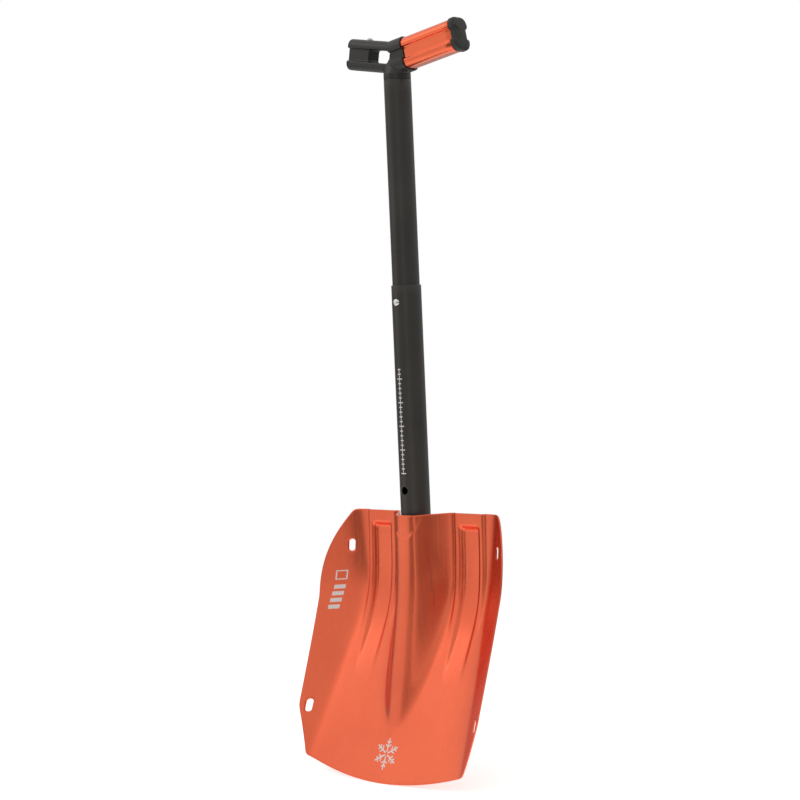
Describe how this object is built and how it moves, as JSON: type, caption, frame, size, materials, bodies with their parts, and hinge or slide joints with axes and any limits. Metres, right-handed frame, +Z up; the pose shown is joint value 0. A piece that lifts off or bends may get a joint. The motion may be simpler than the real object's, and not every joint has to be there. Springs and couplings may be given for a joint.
{
  "type": "extendable camp shovel",
  "caption": "Snow and camp shovel: pressed aluminium scoop that pulls off a telescoping oval shaft with a T handle, a strap window and spring buttons.",
  "frame": {"origin": "level with the lowest point of the cutting edge, under the middle of the shovel's box", "axes": "+Z runs up the shaft to the handle, X runs across the blade, and the hollow of the scoop faces -Y"},
  "size_m": [0.2446, 0.1022, 0.7868],
  "materials": {
    "blade_orange": "satin orange anodised aluminium",
    "grip_orange": "satin orange anodised aluminium",
    "bare_aluminium": "mill aluminium",
    "shaft_black": "satin black anodised aluminium",
    "hub_black": "satin moulded glass-filled nylon",
    "cap_black": "matt rubbery plastic",
    "black_nylon": "moulded nylon",
    "steel": "bright stainless steel"
  },
  "bodies": {
    "blade": {"blade": "blade_orange", "blade_socket": "bare_aluminium", "socket_saddle": "blade_orange"},
    "lower_shaft": {"lower_tube": "shaft_black", "lower_foot_plug": "black_nylon", "lock_spring": "steel"},
    "lock_button": {"lock_button": "steel"},
    "upper_shaft": {"upper_tube": "shaft_black", "upper_foot_plug": "black_nylon", "telescope_spring": "steel", "handle_hub": "hub_black", "hub_rivet": "steel", "arm_end_plug": "black_nylon", "grip_tube": "grip_orange", "grip_end_cap": "cap_black", "grip_pin": "steel", "plunger_body": "steel", "plunger_spring": "steel"},
    "telescope_button": {"telescope_button": "steel"},
    "plunger_ball": {"plunger_ball": "steel"}
  },
  "joints": [
    {"name": "blade_release", "type": "slide", "parent": "blade", "child": "lower_shaft", "axis": [0, 0, 1], "range_m": [0, 0.1], "deforming": ["lock_spring", "lock_button"]},
    {"name": "telescope", "type": "slide", "parent": "lower_shaft", "child": "upper_shaft", "axis": [0, 0, 1], "range_m": [-0.199, 0], "deforming": ["telescope_spring", "telescope_button"]},
    {"name": "lock_press", "type": "slide", "parent": "lower_shaft", "child": "lock_button", "axis": [0, -1, 0], "range_m": [0, 0.0036], "stiffness_N_per_m": 2500, "springref_m": -0.0008},
    {"name": "telescope_press", "type": "slide", "parent": "upper_shaft", "child": "telescope_button", "axis": [0, 1, 0], "range_m": [0, 0.0036], "stiffness_N_per_m": 2500, "springref_m": -0.0008},
    {"name": "plunger_press", "type": "slide", "parent": "upper_shaft", "child": "plunger_ball", "axis": [-0.1736, 0, -0.9848], "range_m": [0, 0.0036], "stiffness_N_per_m": 2000, "springref_m": -0.0008, "deforming": ["plunger_spring"]}
  ]
}
